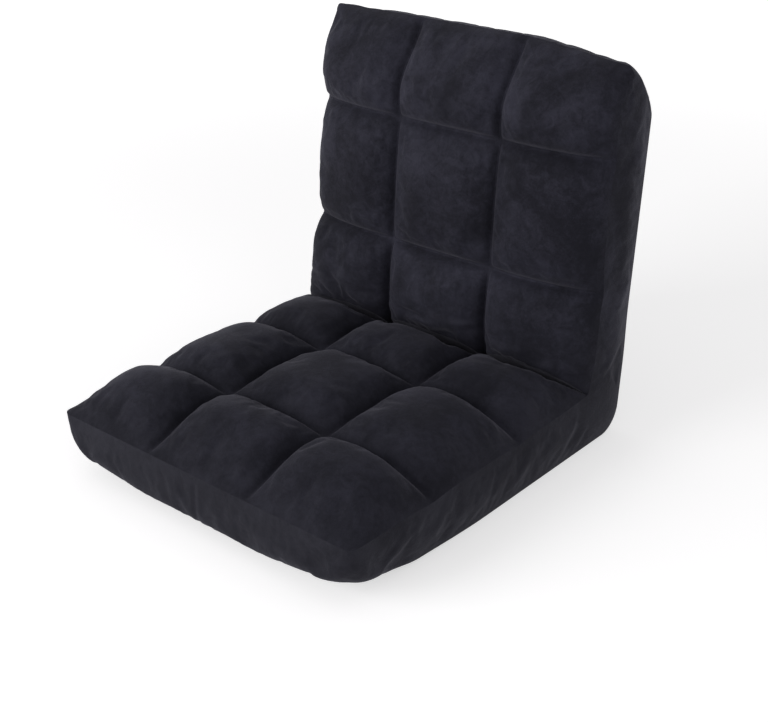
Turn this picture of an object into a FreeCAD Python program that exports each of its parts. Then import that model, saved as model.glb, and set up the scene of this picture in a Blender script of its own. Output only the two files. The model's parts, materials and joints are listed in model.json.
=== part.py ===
import FreeCAD, Part
import math
import os

from FreeCAD import Vector

# A folding floor chair: a seat and a backrest that lie in one plane when open and meet in a ratchet hinge at each
# side. +X is the sitter's left, the sitter faces -Y and +Z is up, with the origin on the floor under the middle.
# Each half is drawn flat first, with the hinge axis on the line y = 0, z = 0, the seat towards -Y and the back
# towards +Y, and "above" is the sitter's side of the frame. Then the back is raised and both are set in place.
# All sizes are in millimetres and degrees.

# Overall
WIDTH = 510.0
SEAT_LENGTH = 543.0  # hinge axis to the seat's front tip
BACK_LENGTH = 508.0  # hinge axis to the back's top tip
AXIS_HEIGHT = 38.0  # hinge axis above the floor, and the radius of the roll round it
HINGE_Y = 231.6  # hinge axis behind the origin

# Recline
RATCHET_PITCH = 85.0 / 11.0
NOTCHES = 14
REST_NOTCH = 11  # counted from flat
FOLD_NOTCH = 16  # pitches from flat to fully folded forward, past the last notch
RAISE = REST_NOTCH * RATCHET_PITCH
FOLDED_GAP = 180.0 - FOLD_NOTCH * RATCHET_PITCH  # angle left between the two frames when folded forward
FOLD_SPARE = 0.6  # angle kept free between the halves when fully folded
CREASE_ANGLE = 42.0  # plane above the seat frame where the two halves' padding press together at rest

# Cover and foam
COVER_THICKNESS = 1.6
SOFT_GAP = 0.3
BACK_HEM = 19.0  # where the back's cover ends, beyond the hinge axis
ROLL_CLEARANCE = 0.5  # between the seat's roll and the back's hollow round it
SLAB_TOP = 48.0  # top of the foam and of the boxing, above the frame
SIDE_TUCK = 16.0  # how far the boxing draws in under the sides
TUCK_SHARE = 0.3  # of the tuck, reached at TUCK_DROP of the way down
TUCK_DROP = 0.6
CORNER_RADIUS = 48.0
END_CURVE = 108.0  # length of the upturned end
SEAT_TIP_HEIGHT = 34.0
BACK_TIP_HEIGHT = 24.0
TIP_SETBACK = 15.0  # from the tip back to the seam above it
SHOULDER_RISE = 3.0  # how far the curve from the tip to the seam stands off its chord
HINGE_OPENING = 1.5  # how much wider than the foam's bevel the cover's inside is cut at the hinge
PLAN_OVERRUN = 0.5  # the plan outline ends just past the tip, so that the tip's own curve shapes the end

# Tufts
COLUMNS = 3
SEAT_ROW_LENGTHS = (160.0, 172.0, 134.0)  # from the hinge end outwards
BACK_ROW_LENGTHS = (136.0, 173.0, 134.0)
SEAT_ROWS_START = 60.0
BACK_ROWS_START = 50.0
SEAT_CREST = 110.0  # above the frame
BACK_CREST = 104.0
TUFT_CORNER = 20.0
TUFT_GAP = 1.0  # between the stuffed squares, which press together in the real cover
CORNER_GROWTH = 0.5  # rounding of a tuft's corners gained for each millimetre that its side is drawn in

# Frame tubes
TUBE_DIAMETER = 19.0
TUBE_WALL = 1.2
TUBE_SPACING = 440.0  # between the two legs' centres
TUBE_START = 50.0  # from the hinge axis
TUBE_BEND = 45.0
TUBE_END_MARGIN = 52.0  # tube centre to the tip of the half
CROSS_DIAMETER = 16.0
CROSS_POSITION = 0.52  # share of the half's length
TUBE_CLEARANCE = 0.5
CHANNEL_LEAD = 2.0  # the foam's channel starts this far before the tube
TUBE_END_GAP = 0.2  # between a tube's end and the hinge arm's block

# Support straps
STRAP_WIDTH = 50.0
STRAP_THICKNESS = 1.5
STRAP_COUNT = 4
STRAP_CLEARANCE = 0.1
STRAP_START = 70.0  # from the tube's open end to the first strap's middle
STRAP_WRAP = 215.0  # turn of a strap's end round the tube

# Ratchet hinge, drawn on the +X side
CHEEK_THICKNESS = 2.0
SEAT_ARM_THICKNESS = 2.5
WHEEL_THICKNESS = 4.5
CAM_THICKNESS = 1.5
RUNNING_GAP = 0.25
ROOT_RADIUS = 18.2
TIP_RADIUS = 21.0
FREE_RADIUS = 17.4
PIVOT_RADIUS = 4.0
PIVOT_HEAD_RADIUS = 7.0
PIVOT_HEAD_HEIGHT = 2.2
WASHER_THICKNESS = 1.0
PIN_RUNNING = 0.05
CHEEK_RADIUS = 25.0
BLOCK_START = 36.0  # where the two cheeks close into one block
BLOCK_HEIGHT = 24.0
SEAT_BLOCK_START = 34.0
SPIGOT_DIAMETER = 16.4
SPIGOT_END = 86.0
SPIGOT_RIVET_AT = 68.0
SMALL_RIVET_RADIUS = 2.0
WHEEL_RIVET_CIRCLE = 11.5
WHEEL_RIVET_ANGLES = (70.0, 180.0, 290.0)
WASHER_OVERHANG = 0.8  # of a washer past the rivet's head
HINGE_ROOM = 1.5  # free space in the foam beside the hinge
ROLL_SKIN = 0.4  # foam left between the hinge's room and the roll's surface
PLATE_MARGIN = 0.4  # the seat arm's disc stays inside the wheel's root by this
ARM_MARGIN = 1.0  # the seat arm is lower than the back's block on each side
SPIGOT_CHAMFER = 1.0
STEM_END = 0.5  # of a rivet or pin past the washer or cheek, inside its head

# Pawl and release cam
PAWL_LENGTH = 20.0
PAWL_PIN_RADIUS = 2.5
PAWL_BOSS_RADIUS = 5.4
PAWL_CLEARANCE = 0.15
PAWL_RELIEF = 1.6  # how far the pawl's inner side stands off the tooth tips
PAWL_TOP = 3.2  # height of the tooth's back above the tooth tips
PAWL_HEEL_TURN = 0.6  # angle of the heel past the notch
PAWL_BELLY = 0.6  # how far the strut's sides lie inside its boss
PAWL_BACK = 0.2
TIP_CLEARANCES = 1.6  # clearances as multiples of PAWL_CLEARANCE: tooth to notch floor,
HEEL_CLEARANCES = 2.2  # heel to the next tooth,
CAM_CLEARANCES = 1.4  # and cam to tooth
PIN_HEAD_RIM = 1.2
PIN_HEAD_HEIGHT = 0.85
PAWL_LIFT = 8.5
CAM_TURN = 20.0
CAM_HOLD = 35.0
SPRING_THICKNESS = 0.6
SPRING_WIDTH = 4.5
SPRING_TAB = 2.0  # top of the leaf's fixed end above the frame's plane
SPRING_SHORT = 1.5  # the leaf's bend is above the block's lower edge by this
SPRING_STANDOFF = 0.1
SPRING_BOW = 2.2

# Tube rivets
TUBE_RIVET_STEM = 0.6  # past the tube's outside
TUBE_RIVET_RIM = 1.6
TUBE_RIVET_HEIGHT = 1.4
TUBE_RIVET_ROOM = 2.5

# Rear pocket
POCKET_WIDTH = 470.0
POCKET_TOP = 352.0  # from the hinge axis
POCKET_BOTTOM = 196.0
POCKET_MOUTH = 11.0
POCKET_SAG = 15.0
POCKET_CLOTH = 2.0
POCKET_SLACK = 0.16  # share of the pocket's height where it hangs fullest
POCKET_HEM = 5.0

X_AXIS = Vector(1, 0, 0)
Y_AXIS = Vector(0, 1, 0)
Z_AXIS = Vector(0, 0, 1)
ORIGIN = Vector(0, 0, 0)

tube_radius = TUBE_DIAMETER / 2
half_width = WIDTH / 2
leg_x = TUBE_SPACING / 2
bevel = (FOLDED_GAP - FOLD_SPARE) / 2  # each half's share of the folded angle
stack = 2 * CHEEK_THICKNESS + SEAT_ARM_THICKNESS + WHEEL_THICKNESS + CAM_THICKNESS + 3 * RUNNING_GAP
hinge_room = stack / 2 + PIVOT_HEAD_HEIGHT + WASHER_THICKNESS + HINGE_ROOM
layers = {}
at = leg_x - stack / 2
for layer, thickness, gap in (
    ("inner_cheek", CHEEK_THICKNESS, RUNNING_GAP),
    ("seat_arm", SEAT_ARM_THICKNESS, 0.0),
    ("wheel", WHEEL_THICKNESS, RUNNING_GAP),
    ("cam", CAM_THICKNESS, RUNNING_GAP),
    ("outer_cheek", CHEEK_THICKNESS, 0.0),
):
    layers[layer] = (at, at + thickness)
    at += thickness + gap


def point(y, z, x=0.0):
    return Vector(x, y, z)


def polar(radius, angle, x=0.0):
    """A point round the hinge axis; 0 is towards +Y and 90 is up."""
    a = math.radians(angle)
    return Vector(x, radius * math.cos(a), radius * math.sin(a))


def line(a, b):
    return Part.LineSegment(a, b).toShape()


def arc(a, b, c):
    return Part.Arc(a, b, c).toShape()


def face_of(edges):
    return Part.Face(Part.Wire(Part.__sortEdges__(edges)))


def prism(edges, x0, x1):
    """A solid between x0 and x1 from edges drawn in the plane x = 0."""
    solid = face_of(edges).extrude(Vector(x1 - x0, 0, 0))
    solid.translate(Vector(x0, 0, 0))
    return solid


def polygon(points):
    return [line(a, b) for a, b in zip(points, points[1:] + points[:1])]


def bar(radius, x0, x1, centre=ORIGIN):
    """A round bar along X."""
    return Part.makeCylinder(radius, x1 - x0, centre + Vector(x0, 0, 0), X_AXIS)


def block(x0, x1, y0, y1, z0, z1):
    return Part.makeBox(x1 - x0, y1 - y0, z1 - z0, Vector(x0, y0, z0))


# The padded half: one outline in side view, one in plan and one across, kept where all three meet


def side_outline(length, tip_height, inset, top, is_seat, open_inside):
    """Side view of a half towards +Y. The seat has the roll round the hinge, the back a hollow that clears it."""
    bottom = -AXIS_HEIGHT + inset
    tip = point(length - inset, tip_height)
    flat_end = length - END_CURVE
    rise = tip_height - bottom
    run = tip.y - flat_end
    radius = (run**2 + rise**2) / (2 * rise)
    sweep = math.atan2(run, radius - rise) / 2
    middle = point(flat_end + radius * math.sin(sweep), bottom + radius * (1 - math.cos(sweep)))
    seam = point(length - TIP_SETBACK - inset, SLAB_TOP)
    above = math.atan2(SLAB_TOP - tip_height, TIP_SETBACK)
    shoulder = (tip + seam) * 0.5 + point(math.sin(above), math.cos(above)) * SHOULDER_RISE
    angle = HINGE_OPENING * bevel if open_inside else bevel
    edges = [arc(point(flat_end, bottom), middle, tip), arc(tip, shoulder, seam)]
    corner = point(top / math.tan(math.radians(angle)), top)
    if top > SLAB_TOP:
        edges += [line(seam, point(seam.y, top)), line(point(seam.y, top), corner)]
    else:
        edges += [line(seam, corner)]
    if is_seat:
        roll = AXIS_HEIGHT - inset
        start = polar(roll, angle)
        edges += [line(corner, start), arc(start, polar(roll, 150), point(0, bottom))]
        edges += [line(point(0, bottom), point(flat_end, bottom))]
    elif open_inside:
        foot = point(0, bottom)
        edges += [line(corner, ORIGIN), line(ORIGIN, foot), line(foot, point(flat_end, bottom))]
    else:
        roll = AXIS_HEIGHT + ROLL_CLEARANCE
        start = polar(roll, angle)
        low = -math.degrees(math.asin(-bottom / roll))
        edges += [line(corner, start), arc(start, polar(roll, (angle + low) / 2), polar(roll, low))]
        edges += [line(polar(roll, low), point(flat_end, bottom))]
    return edges


def plan_outline(length, inset):
    """Plan view of a half, with rounded far corners."""
    side = half_width - inset
    end = length - inset + PLAN_OVERRUN
    r = CORNER_RADIUS - inset
    near = -AXIS_HEIGHT * 2
    k = r * (1 - math.sqrt(0.5))
    edges = [
        line(Vector(-side, near, 0), Vector(side, near, 0)),
        line(Vector(side, near, 0), Vector(side, end - r, 0)),
        arc(Vector(side, end - r, 0), Vector(side - k, end - k, 0), Vector(side - r, end, 0)),
        line(Vector(side - r, end, 0), Vector(-side + r, end, 0)),
        arc(Vector(-side + r, end, 0), Vector(-side + k, end - k, 0), Vector(-side, end - r, 0)),
        line(Vector(-side, end - r, 0), Vector(-side, near, 0)),
    ]
    return edges


def cross_outline(inset, top):
    """Section across a half: upright sides that draw in towards the floor."""
    side = half_width - inset
    bottom = -AXIS_HEIGHT + inset
    edges = []
    for s in (-1, 1):
        edges += [
            line(Vector(s * side, 0, top), Vector(s * side, 0, 0)),
            arc(
                Vector(s * side, 0, 0),
                Vector(s * (side - TUCK_SHARE * SIDE_TUCK), 0, TUCK_DROP * bottom),
                Vector(s * (side - SIDE_TUCK), 0, bottom),
            ),
        ]
    edges += [
        line(Vector(-side, 0, top), Vector(side, 0, top)),
        line(Vector(-side + SIDE_TUCK, 0, bottom), Vector(side - SIDE_TUCK, 0, bottom)),
    ]
    return edges


def half_hull(length, tip_height, inset, top, is_seat, open_inside=False):
    side = prism(side_outline(length, tip_height, inset, top, is_seat, open_inside), -half_width, half_width)
    plan = face_of(plan_outline(length, inset)).extrude(Vector(0, 0, top + AXIS_HEIGHT))
    plan.translate(Vector(0, 0, -AXIS_HEIGHT))
    cross = face_of(cross_outline(inset, top)).extrude(Vector(0, length + 2 * AXIS_HEIGHT, 0))
    cross.translate(Vector(0, -2 * AXIS_HEIGHT, 0))
    return side.common(plan).common(cross)


def cover_base(length, tip_height, is_seat):
    """The cover's boxing and underside: a tray of cloth, open on the sitter's side."""
    outer = half_hull(length, tip_height, 0.0, SLAB_TOP, is_seat)
    inner = half_hull(length, tip_height, COVER_THICKNESS, SLAB_TOP + 5, is_seat, open_inside=True)
    tray = outer.cut(inner)
    if not is_seat:
        tray = tray.cut(block(-WIDTH, WIDTH, -WIDTH, BACK_HEM, -WIDTH, AXIS_HEIGHT))
    return tray


# Frame tubes


def frame_path(length):
    """The U of a frame tube's centre line, from the -X leg's open end round to the +X leg's."""
    end = length - TUBE_END_MARGIN
    r = TUBE_BEND
    k = r * (1 - math.sqrt(0.5))
    a = Vector(-leg_x, TUBE_START, 0)
    b = Vector(-leg_x, end - r, 0)
    c = Vector(-leg_x + r, end, 0)
    d = Vector(leg_x - r, end, 0)
    e = Vector(leg_x, end - r, 0)
    f = Vector(leg_x, TUBE_START, 0)
    return Part.Wire(
        [
            line(a, b),
            arc(b, Vector(-leg_x + k, end - k, 0), c),
            line(c, d),
            arc(d, Vector(leg_x - k, end - k, 0), e),
            line(e, f),
        ]
    )


def swept_round(path, radius):
    """A round bar along lines and arcs, first along Y: straight runs are extruded and bends revolved."""
    disc = Part.Face(Part.Wire(Part.makeCircle(radius, path.Edges[0].Vertexes[0].Point, Y_AXIS)))
    bar_solid = None
    for edge in path.Edges:
        if isinstance(edge.Curve, Part.Circle):
            shares = (0, 0.5, 1)
            start, middle, end = (edge.valueAt(edge.getParameterByLength(edge.Length * s)) for s in shares)
            turn = (middle - start).cross(end - middle).normalize()
            sweep = math.degrees(edge.Length / edge.Curve.Radius)
            run = disc.revolve(edge.Curve.Center, turn, sweep)
            disc.rotate(edge.Curve.Center, turn, sweep)
        else:
            step = edge.Vertexes[-1].Point - edge.Vertexes[0].Point
            run = disc.extrude(step)
            disc.translate(step)
        bar_solid = run if bar_solid is None else bar_solid.fuse(run)
    return bar_solid.removeSplitter()


def frame_tube(length):
    path = frame_path(length)
    return swept_round(path, tube_radius).cut(swept_round(path, tube_radius - TUBE_WALL))


def cross_y(length):
    return CROSS_POSITION * length


def cross_tube(length):
    """A tube welded between the legs, its ends cut to sit on them."""
    y = cross_y(length)
    centre = Vector(0, y, 0)
    tube = bar(CROSS_DIAMETER / 2, -leg_x, leg_x, centre).cut(
        bar(CROSS_DIAMETER / 2 - TUBE_WALL, -leg_x, leg_x, centre)
    )
    for x in (-leg_x, leg_x):
        tube = tube.cut(
            Part.makeCylinder(tube_radius, CROSS_DIAMETER * 2, Vector(x, y - CROSS_DIAMETER, 0), Y_AXIS)
        )
    return max(tube.Solids, key=lambda s: s.Volume)


def strap_places(length):
    """Middle of each strap along the half, clear of the cross tube."""
    first = TUBE_START + STRAP_START
    last = length - TUBE_END_MARGIN - TUBE_BEND - STRAP_WIDTH / 2
    step = (last - first) / (STRAP_COUNT - 1)
    cross = cross_y(length)
    apart = (STRAP_WIDTH + CROSS_DIAMETER) / 2 + STRAP_CLEARANCE
    places = []
    for n in range(STRAP_COUNT):
        y = first + n * step
        places.append(cross + math.copysign(apart, y - cross) if abs(y - cross) < apart else y)
    return places


def strap_section():
    """A strap across the top of both legs, its ends turned round them and under."""
    inner = tube_radius + STRAP_CLEARANCE
    outer = inner + STRAP_THICKNESS
    edges = [
        line(Vector(-leg_x, 0, outer), Vector(leg_x, 0, outer)),
        line(Vector(-leg_x, 0, inner), Vector(leg_x, 0, inner)),
    ]
    for s in (-1, 1):

        def at_angle(radius, angle):
            a = math.radians(angle)
            return Vector(s * (leg_x + radius * math.sin(a)), 0, radius * math.cos(a))

        for radius in (inner, outer):
            ends = [at_angle(radius, STRAP_WRAP * share) for share in (0, 0.5, 1)]
            edges.append(arc(*ends))
        edges.append(line(at_angle(inner, STRAP_WRAP), at_angle(outer, STRAP_WRAP)))
    return edges


def straps(length):
    made = []
    for y in strap_places(length):
        strap = face_of(strap_section()).extrude(Vector(0, STRAP_WIDTH, 0))
        strap.translate(Vector(0, y - STRAP_WIDTH / 2, 0))
        made.append(strap)
    return made


def channel(length, half_size):
    """The square-cut groove that follows a frame tube."""
    end = length - TUBE_END_MARGIN
    outlines = []
    for offset in (half_size, -half_size):
        x = leg_x + offset
        y = end + offset
        r = TUBE_BEND + offset
        k = r * (1 - math.sqrt(0.5))
        start = TUBE_START - CHANNEL_LEAD
        edges = [
            line(Vector(-x, start, 0), Vector(-x, y - r, 0)),
            arc(Vector(-x, y - r, 0), Vector(-x + k, y - k, 0), Vector(-x + r, y, 0)),
            line(Vector(-x + r, y, 0), Vector(x - r, y, 0)),
            arc(Vector(x - r, y, 0), Vector(x - k, y - k, 0), Vector(x, y - r, 0)),
            line(Vector(x, y - r, 0), Vector(x, start, 0)),
            line(Vector(x, start, 0), Vector(-x, start, 0)),
        ]
        solid = face_of(edges).extrude(Vector(0, 0, 2 * half_size))
        solid.translate(Vector(0, 0, -half_size))
        outlines.append(solid)
    return outlines[0].cut(outlines[1])


def frame_room(length, is_seat):
    """The space that the foam leaves free for the frame, its straps and the hinge."""
    room = [channel(length, tube_radius + TUBE_CLEARANCE)]
    cross = CROSS_DIAMETER / 2 + TUBE_CLEARANCE
    y = cross_y(length)
    room.append(block(-leg_x, leg_x, y - cross, y + cross, -cross, cross))
    strap_top = tube_radius + STRAP_CLEARANCE + STRAP_THICKNESS + TUBE_CLEARANCE
    half_strap = STRAP_WIDTH / 2 + TUBE_CLEARANCE
    for y in strap_places(length):
        low = tube_radius - TUBE_CLEARANCE
        room.append(block(-leg_x, leg_x, y - half_strap, y + half_strap, low, strap_top))
        for x in (-leg_x, leg_x):
            room.append(
                block(x - strap_top, x + strap_top, y - half_strap, y + half_strap, -strap_top, strap_top)
            )
    rivet = tube_radius + TUBE_RIVET_ROOM
    reach = AXIS_HEIGHT - COVER_THICKNESS - SOFT_GAP
    for s in (-1, 1):
        x = s * leg_x
        x0, x1 = x - hinge_room, x + hinge_room
        room.append(bar(reach - ROLL_SKIN, x0, x1))
        room.append(block(x0, x1, 0, TUBE_START + 1, -BLOCK_HEIGHT / 2 - 1, BLOCK_HEIGHT / 2 + 1))
        room.append(bar(SMALL_RIVET_RADIUS + 2, x - rivet, x + rivet, Vector(0, SPIGOT_RIVET_AT, 0)))
        if is_seat:
            room.append(roll_slot(x0, x1))
    return room


def roll_slot(x0, x1):
    """The part of the roll that the back's arm sweeps, from folded forward to flat."""
    far = AXIS_HEIGHT + 4
    points = [polar(far * (1 if n else 0), angle) for n, angle in enumerate((0, 20, 65, 110, 155, 200, 222))]
    return prism(polygon(points), x0, x1)


def foam(length, tip_height, is_seat):
    """The foam under and over the frame, as two slabs with a channel for everything between them."""
    inset = COVER_THICKNESS + SOFT_GAP
    core = half_hull(length, tip_height, inset, SLAB_TOP - SOFT_GAP, is_seat)
    for piece in frame_room(length, is_seat):
        core = core.cut(piece)
    reach = length + 2 * AXIS_HEIGHT
    halves = []
    for z0, z1 in ((-AXIS_HEIGHT, -SOFT_GAP / 2), (SOFT_GAP / 2, SLAB_TOP)):
        slab = core.common(block(-half_width, half_width, -2 * AXIS_HEIGHT, reach, z0, z1))
        halves.append(max(slab.Solids, key=lambda s: s.Volume))
    return halves


# Tufts


def tuft_ring(x0, x1, y0, y1, z, inset, corner):
    """A rounded rectangle at height z."""
    x0, x1, y0, y1 = x0 + inset, x1 - inset, y0 + inset, y1 - inset
    r = min(corner, 0.45 * (x1 - x0), 0.45 * (y1 - y0))
    k = r * (1 - math.sqrt(0.5))
    v = lambda x, y: Vector(x, y, z)
    return Part.Wire(
        [
            line(v(x0 + r, y0), v(x1 - r, y0)),
            arc(v(x1 - r, y0), v(x1 - k, y0 + k), v(x1, y0 + r)),
            line(v(x1, y0 + r), v(x1, y1 - r)),
            arc(v(x1, y1 - r), v(x1 - k, y1 - k), v(x1 - r, y1)),
            line(v(x1 - r, y1), v(x0 + r, y1)),
            arc(v(x0 + r, y1), v(x0 + k, y1 - k), v(x0, y1 - r)),
            line(v(x0, y1 - r), v(x0, y0 + r)),
            arc(v(x0, y0 + r), v(x0 + k, y0 + k), v(x0 + r, y0)),
        ]
    )


# share of the tuft's height, and how far its side is drawn in there as a share of its shorter side
TUFT_SHAPE = (
    (0.0, 0.025),
    (0.26, 0.0),
    (0.58, 0.015),
    (0.80, 0.075),
    (0.93, 0.16),
    (1.0, 0.30),
)


def tuft(x0, x1, y0, y1, crest):
    """One stuffed square: drawn in at its seam, full at the sides and crowned on top."""
    base = SLAB_TOP + SOFT_GAP
    gap = TUFT_GAP / 2
    short = min(x1 - x0, y1 - y0)
    rings = [
        tuft_ring(
            x0 + gap,
            x1 - gap,
            y0 + gap,
            y1 - gap,
            base + share * (crest - base),
            inset * short,
            TUFT_CORNER + CORNER_GROWTH * inset * short,
        )
        for share, inset in TUFT_SHAPE
    ]
    return Part.makeLoft(rings, True, True)


def tufts(rows_start, row_lengths, crest, crease):
    """Every tuft of a half as {(row, column): solid}. The row at the hinge is cut where it presses on the other half."""
    pitch = (WIDTH - 2 * SOFT_GAP) / COLUMNS
    made = {}
    y = rows_start
    side = half_width
    for row, row_length in enumerate(row_lengths):
        for column in range(COLUMNS):
            x0 = -side + SOFT_GAP + column * pitch
            solid = tuft(x0, x0 + pitch, y, y + row_length, crest)
            if row == 0:
                solid = solid.cut(beyond_crease(crease, crest))
            made[row, column] = solid
        y += row_length
    return made


def beyond_crease(crease, crest):
    """The space on the far side of the plane through the hinge axis at the crease angle."""
    reach = 4 * crest
    d = polar(1.0, crease)
    n = polar(1.0, crease - 90)
    foot = n * SOFT_GAP
    points = [foot, foot + d * reach, foot + d * reach - n * reach, foot - n * reach]
    return prism(polygon(points), -WIDTH, WIDTH)


# Ratchet hinge, drawn flat on the +X side with the seat towards -Y and the back towards +Y

tooth_mean = (ROOT_RADIUS + TIP_RADIUS) / 2
pawl_pivot_radius = math.hypot(tooth_mean, PAWL_LENGTH)
tip_angle = -math.degrees(math.atan2(PAWL_LENGTH, tooth_mean))
pawl_pivot = polar(pawl_pivot_radius, 0)


def ratchet_wheel():
    """The toothed wheel: notches on the back's side, each with a radial wall that stops the back from dropping."""
    points = [polar(FREE_RADIUS, tip_angle - RATCHET_PITCH), polar(TIP_RADIUS, tip_angle)]
    for n in range(NOTCHES):
        angle = tip_angle + n * RATCHET_PITCH
        points += [polar(ROOT_RADIUS, angle), polar(TIP_RADIUS, angle + RATCHET_PITCH)]
    end_angle = tip_angle + NOTCHES * RATCHET_PITCH
    points.append(polar(FREE_RADIUS, end_angle))
    edges = [line(a, b) for a, b in zip(points, points[1:])]
    start_angle = tip_angle - RATCHET_PITCH + 360
    edges.append(arc(points[-1], polar(FREE_RADIUS, (end_angle + start_angle) / 2), points[0]))
    wheel = prism(edges, *layers["wheel"])
    return cut_wheel_holes(wheel, "wheel")


def cut_wheel_holes(piece, layer):
    x0, x1 = layers[layer]
    piece = piece.cut(bar(PIVOT_RADIUS + PIN_RUNNING, x0 - 1, x1 + 1))
    for angle in WHEEL_RIVET_ANGLES:
        centre = polar(WHEEL_RIVET_CIRCLE, angle)
        piece = piece.cut(bar(SMALL_RIVET_RADIUS + PIN_RUNNING, x0 - 1, x1 + 1, centre))
    return piece


def wheel_rivets():
    """Rivets that hold the wheel to the seat's arm, flush on both faces."""
    x0, x1 = layers["seat_arm"][0], layers["wheel"][1]
    return [bar(SMALL_RIVET_RADIUS, x0, x1, polar(WHEEL_RIVET_CIRCLE, a)) for a in WHEEL_RIVET_ANGLES]


def spigot(sign):
    """The round end that plugs into the frame tube, with its cross hole."""
    length = SPIGOT_END - BLOCK_START
    stub = Part.makeCylinder(
        SPIGOT_DIAMETER / 2, length, Vector(leg_x, sign * BLOCK_START, 0), Vector(0, sign, 0)
    )
    return stub.makeChamfer(SPIGOT_CHAMFER, [e for e in stub.Edges if abs(e.CenterOfMass.y) > SPIGOT_END - 1])


def cut_cross_hole(piece, sign):
    centre = Vector(0, sign * SPIGOT_RIVET_AT, 0)
    for s in (-1, 1):
        x = s * leg_x
        piece = piece.cut(
            bar(SMALL_RIVET_RADIUS + PIN_RUNNING, x - TUBE_DIAMETER, x + TUBE_DIAMETER, centre)
        )
    return piece


def seat_arm():
    """A flat arm between the cheeks that carries the wheel and ends in the seat tube's spigot."""
    x0, x1 = layers["seat_arm"]
    height = BLOCK_HEIGHT / 2 - ARM_MARGIN
    plate = bar(FREE_RADIUS - PLATE_MARGIN, x0, x1)
    plate = plate.fuse(block(x0, x1, -BLOCK_START, 0, -height, height))
    outer = layers["outer_cheek"][1]
    inner = layers["inner_cheek"][0]
    neck = block(inner, outer, -TUBE_START + TUBE_END_GAP, -SEAT_BLOCK_START, -height, height)
    arm = plate.fuse(neck).fuse(spigot(-1)).removeSplitter()
    return cut_cross_hole(cut_wheel_holes(arm, "seat_arm"), -1)


def back_arm():
    """A fork of two cheeks round the wheel, closing into a block with the back tube's spigot."""
    height = BLOCK_HEIGHT / 2
    inner = layers["inner_cheek"][0]
    outer = layers["outer_cheek"][1]
    arm = block(inner, outer, BLOCK_START, TUBE_START - TUBE_END_GAP, -height, height).fuse(spigot(1))
    for layer in ("inner_cheek", "outer_cheek"):
        x0, x1 = layers[layer]
        cheek = bar(CHEEK_RADIUS, x0, x1).fuse(block(x0, x1, 0, BLOCK_START, -height, height))
        cheek = cheek.cut(bar(PIVOT_RADIUS + PIN_RUNNING, x0 - 1, x1 + 1))
        cheek = cheek.cut(bar(PAWL_PIN_RADIUS + PIN_RUNNING, x0 - 1, x1 + 1, pawl_pivot))
        arm = arm.fuse(cheek)
    return cut_cross_hole(arm.removeSplitter(), 1)


def pawl():
    """The pawl: a strut from its pin to a single tooth that fills one notch."""
    wall = polar(1.0, tip_angle)
    along = polar(1.0, tip_angle + 90)
    lead = along * PAWL_CLEARANCE
    tip = wall * (ROOT_RADIUS + TIP_CLEARANCES * PAWL_CLEARANCE) + lead
    top = wall * (TIP_RADIUS + PAWL_TOP) + lead
    heel = polar(TIP_RADIUS + HEEL_CLEARANCES * PAWL_CLEARANCE, tip_angle + RATCHET_PITCH + PAWL_HEEL_TURN)
    reach = pawl_pivot - wall * tooth_mean
    across = Vector(0, -reach.z, reach.y).normalize()
    inner_side = pawl_pivot + across * (PAWL_BOSS_RADIUS - PAWL_BELLY)
    outer_side = pawl_pivot - across * (PAWL_BOSS_RADIUS - PAWL_BACK)
    x0, x1 = layers["wheel"][0], layers["cam"][1]
    knee = polar(TIP_RADIUS + PAWL_RELIEF, (tip_angle + RATCHET_PITCH) / 2)
    body = prism(polygon([tip, heel, knee, inner_side, outer_side, top]), x0, x1)
    body = body.fuse(bar(PAWL_BOSS_RADIUS, x0, x1, pawl_pivot)).removeSplitter()
    return body.cut(bar(PAWL_PIN_RADIUS + PIN_RUNNING, x0 - 1, x1 + 1, pawl_pivot))


def lifted_tip(lift):
    """Radius and angle of the pawl's tooth when the pawl has turned by lift."""
    wall = polar(1.0, tip_angle)
    tip = wall * (ROOT_RADIUS + TIP_CLEARANCES * PAWL_CLEARANCE) + polar(PAWL_CLEARANCE, tip_angle + 90)
    arm = tip - pawl_pivot
    a = math.radians(lift)
    y = arm.y * math.cos(a) - arm.z * math.sin(a) + pawl_pivot.y
    z = arm.y * math.sin(a) + arm.z * math.cos(a) + pawl_pivot.z
    return math.hypot(y, z), math.degrees(math.atan2(z, y))


def release_cam():
    """A disc beside the wheel whose ramp lifts the pawl clear of the teeth in step with the cam's own turn."""
    steps = 8
    ramp = []
    for n in range(steps + 1):
        share = n / steps
        radius, angle = lifted_tip(share * PAWL_LIFT)
        ramp.append(polar(radius - CAM_CLEARANCES * PAWL_CLEARANCE, angle + share * CAM_TURN))
    low_radius = math.hypot(ramp[0].y, ramp[0].z)
    high_radius = math.hypot(ramp[-1].y, ramp[-1].z)
    ramp_start = math.degrees(math.atan2(ramp[0].z, ramp[0].y))
    ramp_end = math.degrees(math.atan2(ramp[-1].z, ramp[-1].y))
    hold_end = ramp_end + CAM_HOLD
    curve = Part.BSplineCurve()
    curve.interpolate(ramp)
    edges = [
        curve.toShape(),
        arc(ramp[-1], polar(high_radius, (ramp_end + hold_end) / 2), polar(high_radius, hold_end)),
        line(polar(high_radius, hold_end), polar(low_radius, hold_end)),
        arc(polar(low_radius, hold_end), polar(low_radius, (hold_end + ramp_start + 360) / 2), ramp[0]),
    ]
    x0, x1 = layers["cam"]
    return prism(edges, x0, x1).cut(bar(PIVOT_RADIUS + PIN_RUNNING, x0 - 1, x1 + 1))


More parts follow.
